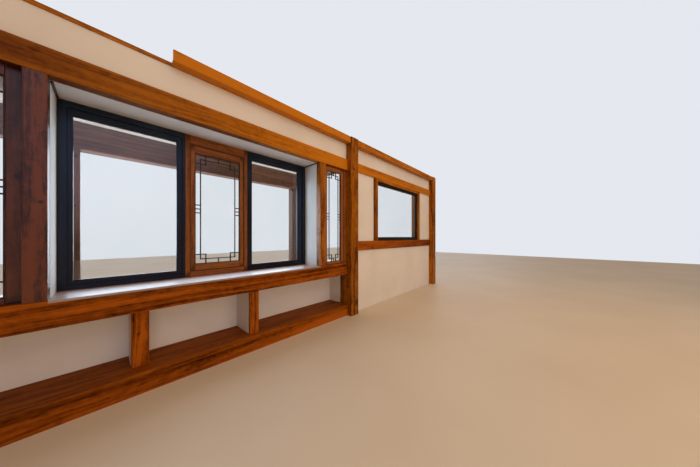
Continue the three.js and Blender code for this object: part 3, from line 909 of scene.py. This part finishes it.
def metalFrame(name, look):
    low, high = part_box(f"{name}_frame")
    paneLow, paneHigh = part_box(f"{name}_glass")
    outer = look["outerWidths"][name]
    depth = high.y - low.y
    nominal = look["sectionWidth"]
    outerSection = [(0, 0), (nominal, 0), (nominal, depth), (0, depth)]
    outerRing = mitredRing(low, high, outer, low.y, outerSection, look["edge"])
    lap = look["overlap"]
    sashLow = Vector((low.x + outer["left"] - lap, low.y, low.z + outer["foot"] - lap))
    sashHigh = Vector((high.x - outer["right"] + lap, high.y, high.z - outer["head"] + lap))
    sash = {
        "left": paneLow.x - sashLow.x, "right": sashHigh.x - paneHigh.x,
        "foot": paneLow.z - sashLow.z, "head": sashHigh.z - paneHigh.z,
    }
    bead, rubber = nominal - look["beadWidth"], nominal - look["gasket"]
    step, back = look["beadStep"], look["sashDepth"]
    sashSection = [
        (0, 0), (bead, 0), (bead, step), (rubber, step), (rubber, 2 * step), (nominal, 2 * step),
        (nominal, back), (0, back),
    ]
    sashRing = mitredRing(sashLow, sashHigh, sash, low.y + look["setback"], sashSection, look["sashEdge"])
    coating = brownMetal if name == "picture" else blackMetal
    makePiece(camel(f"{name}_frame"), [outerRing, sashRing], coating, [f"{name}_frame"])


for name in ["left_window", "right_window", "picture"]:
    metalFrame(name, metalFrameLook)
print("stage: metal lights")


# Thin lattice in front of a pane: a border along the edges, two long uprights and two rails a pitch in from
# them, a small square in each corner, a tick in the middle of each rail and three half-way up each side.
latticeLook = {
    "pitch": 0.048, "bar": 0.010, "border": 0.006, "tickPitch": 0.040, "arris": 0.0010, "endArris": 0.0006,
    "lap": 0.0004, "arcSteps": 2, "step": 0.5,
}


# The bars as (across from, across to, along from, along to), counted from the pane's lower left corner.
def latticeBars(width, height, look):
    half, inner, corner, border = look["bar"] / 2, look["pitch"], 2 * look["pitch"], look["border"]
    uprights = [(0, border, 0, height), (width - border, width, 0, height)]
    rails = [(0, border, 0, width), (height - border, height, 0, width)]
    lines = [(x, inner - half, height - inner + half) for x in (inner, width - inner)]
    levels = [(z, inner - half, width - inner + half) for z in (inner, height - inner)]
    for low, high, level in [(0, corner, corner), (height - corner, height, height - corner)]:
        lines += [(corner, low, high), (width - corner, low, high)]
        levels += [(level, 0, corner + half), (level, width - corner - half, width)]
    lines += [(width / 2, 0, inner), (width / 2, height - inner, height)]
    for stepUp in (-1, 0, 1):
        level = height / 2 + stepUp * look["tickPitch"]
        levels += [(level, 0, inner), (level, width - inner, width)]
    uprights += [(x - half, x + half, start, end) for x, start, end in lines]
    rails += [(z - half, z + half, start, end) for z, start, end in levels]
    return uprights, rails


def latticePiece(node, glassNode, look):
    low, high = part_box(node)
    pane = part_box(glassNode)[0]
    uprights, rails = latticeBars(high.x - low.x, high.z - low.z, look)
    shells = []

    def addBar(axis, front, x0, x1, z0, z1):
        start = Vector((pane.x + x0, front, pane.z + z0))
        shells.append(timberShell(start, Vector((pane.x + x1, high.y, pane.z + z1)), axis, look))

    for x0, x1, z0, z1 in uprights:
        addBar(alongZ, low.y, x0, x1, z0, z1)
    for z0, z1, x0, x1 in rails:
        addBar(alongX, low.y + look["lap"], x0, x1, z0, z1)
    makePiece(camel(node), shells, darkBar, [node])


for name in ["middle", "left_sidelight", "right_sidelight"]:
    latticePiece(f"{name}_lattice", f"{name}_glass", latticeLook)
print("stage: lattices")


# White panels, recess, eave and panes keep their own solids.
def dress(material, nodes):
    for node in nodes:
        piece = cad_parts[node]
        piece.data.materials.clear()
        piece.data.materials.append(material)


dress(clearGlass, [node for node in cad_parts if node.endswith("glass")])
dress(whitePlaster, [
    "left_cheek", "right_cheek", "niche_back", "niche_left_end", "niche_right_end", "upper_wall_left",
    "upper_wall_right", "side_panel_left", "side_panel_right", "lower_wall",
])
dress(shadedRevealPlaster, ["left_reveal", "right_reveal"])
dress(shadedCeilingPlaster, ["eave_deck"])
print("stage: panels and panes")


floorLook = {
    "size": 30.0, "pale": (0.76, 0.67, 0.56, 1), "shade": (0.71, 0.62, 0.51, 1), "patchScale": 0.7,
    "gritScale": 60.0, "cloudEdges": (0.3, 0.7), "roughness": 0.6,
}


def floorShader(tree, look):
    clouds = ramp(tree, gritOf(tree, look)["Patches"], *look["cloudEdges"])
    tint = blend(tree, clouds, look["pale"], look["shade"])
    return put(tree, "BsdfPrincipled", {"Base Color": tint, "Roughness": look["roughness"]})


def addFloor(look):
    half = look["size"] / 2
    mesh = bpy.data.meshes.new("paleFloor")
    corners = [(-half, -half, 0), (half, -half, 0), (half, half, 0), (-half, half, 0)]
    mesh.from_pydata(corners, [], [(0, 1, 2, 3)])
    mesh.materials.append(newMaterial("paleFloor", floorShader, look))
    addObject("paleFloor", mesh)


addFloor(floorLook)


# Soft light: warm from above and in front on the room side, and cool daylight from the panes and up at the
# eave. The spread is in degrees.
roomLight = {"spread": 180, "mirrored": False}
lightLooks = {
    "keyLight": {
        **roomLight, "place": (1.2, -5.2, 4.4), "aim": (1.0, 0.0, 1.2), "size": (6.5, 2.4), "power": 68,
        "color": (1.0, 0.68, 0.38),
    },
    "topLight": {
        **roomLight, "place": (0.5, -1.5, 4.2), "aim": (0.5, -0.2, 1.8), "size": (6.0, 0.8), "power": 14,
        "color": (1.0, 0.68, 0.36),
    },
    "fillLight": {
        **roomLight, "place": (-1.0, -6.5, 1.2), "aim": (0.2, 0.0, 0.8), "size": (7.0, 2.2), "power": 92,
        "color": (1.0, 0.68, 0.42),
    },
    "paneLight": {
        **roomLight, "place": (-1.53, -0.075, 1.41), "aim": (-1.53, -1.0, 1.41), "size": (2.1, 1.14),
        "power": 12, "color": (0.64, 0.82, 1.0), "mirrored": True,
    },
    "eaveLight": {
        **roomLight, "place": (-1.53, 0.28, 0.90), "aim": (-1.53, 0.28, 2.2), "size": (3.0, 0.06),
        "power": 3.6, "spread": 24, "color": (0.90, 0.96, 1.0),
    },
}


def addAreaLight(name, look):
    data = bpy.data.lights.new(name, "AREA")
    data.shape = "RECTANGLE"
    data.size, data.size_y = look["size"]
    data.energy = look["power"]
    data.color = look["color"]
    data.spread = math.radians(look["spread"])
    lamp = addObject(name, data)
    lamp.location = look["place"]
    aim = Vector(look["aim"]) - Vector(look["place"])
    lamp.rotation_euler = aim.to_track_quat("-Z", "Y").to_euler()
    lamp.visible_camera = False
    lamp.visible_transmission = False
    lamp.visible_glossy = look["mirrored"]


for name, look in lightLooks.items():
    addAreaLight(name, look)


# Surroundings: seen directly or through a pane they are an even pale backdrop. As light they are dim and warm
# on the room side, with a soft cool patch behind the camera, brighter overhead and bright and cool over the
# garden, most of all low over it in mirrors. Heights and sides are parts of the unit vector that points the
# way, and nearness is its product with coolTowards.
surroundLook = {
    "backdrop": (0.78, 0.81, 0.86, 1), "room": (0.12, 0.095, 0.07, 1), "overhead": (0.42, 0.30, 0.18, 1),
    "overheadHeights": (0.0, 0.8), "coolPatch": (0.70, 0.74, 0.98, 1), "coolTowards": (-0.13, -0.90, 0.42),
    "coolNearness": (0.88, 0.98), "garden": (1.0, 1.06, 1.18), "gardenSide": (-0.05, 0.30),
    "gardenHeights": (0.75, 0.35), "mirroredGarden": 3.0, "mirroredHeights": (0.45, 0.15),
}


def addSurroundings(look):
    world = bpy.data.worlds.new("studio")
    world.use_nodes = True
    tree = world.node_tree
    tree.nodes.clear()
    direction = put(tree, "TexCoord").outputs["Generated"]
    parts = put(tree, "SeparateXYZ", {0: direction}).outputs
    path = put(tree, "LightPath").outputs
    height, side = parts[2], parts[1]
    upwards = ramp(tree, height, *look["overheadHeights"])
    towards = {0: direction, 1: look["coolTowards"]}
    nearness = put(tree, "VectorMath", towards, operation="DOT_PRODUCT").outputs["Value"]
    patch = ramp(tree, nearness, *look["coolNearness"])
    indoors = blend(tree, upwards, look["room"], look["overhead"])
    indoors = blend(tree, patch, indoors, look["coolPatch"])
    mirror = maths(tree, "MINIMUM", path["Glossy Depth"], 1.0)
    mirrored = times(tree, mirror, ramp(tree, height, *look["mirroredHeights"]))
    strength = plus(tree, times(tree, mirrored, look["mirroredGarden"] - 1.0), 1.0)
    daylight = {0: look["garden"], "Scale": strength}
    garden = put(tree, "VectorMath", daylight, operation="SCALE").outputs[0]
    beyond = ramp(tree, side, *look["gardenSide"])
    outdoors = times(tree, beyond, ramp(tree, height, *look["gardenHeights"]))
    tint = blend(tree, outdoors, indoors, garden)
    scattered = maths(tree, "MINIMUM", plus(tree, path["Diffuse Depth"], path["Glossy Depth"]), 1.0)
    throughPane = times(tree, path["Is Transmission Ray"], minus(tree, 1.0, scattered))
    seen = maths(tree, "MAXIMUM", path["Is Camera Ray"], throughPane)
    shown = blend(tree, seen, tint, look["backdrop"])
    background = put(tree, "Background", {"Color": shown, "Strength": 1.0})
    put(tree, "OutputWorld", {"Surface": background.outputs[0]})
    scene.world = world


addSurroundings(surroundLook)
scene.view_settings.view_transform = "Standard"
print("stage: floor and light")
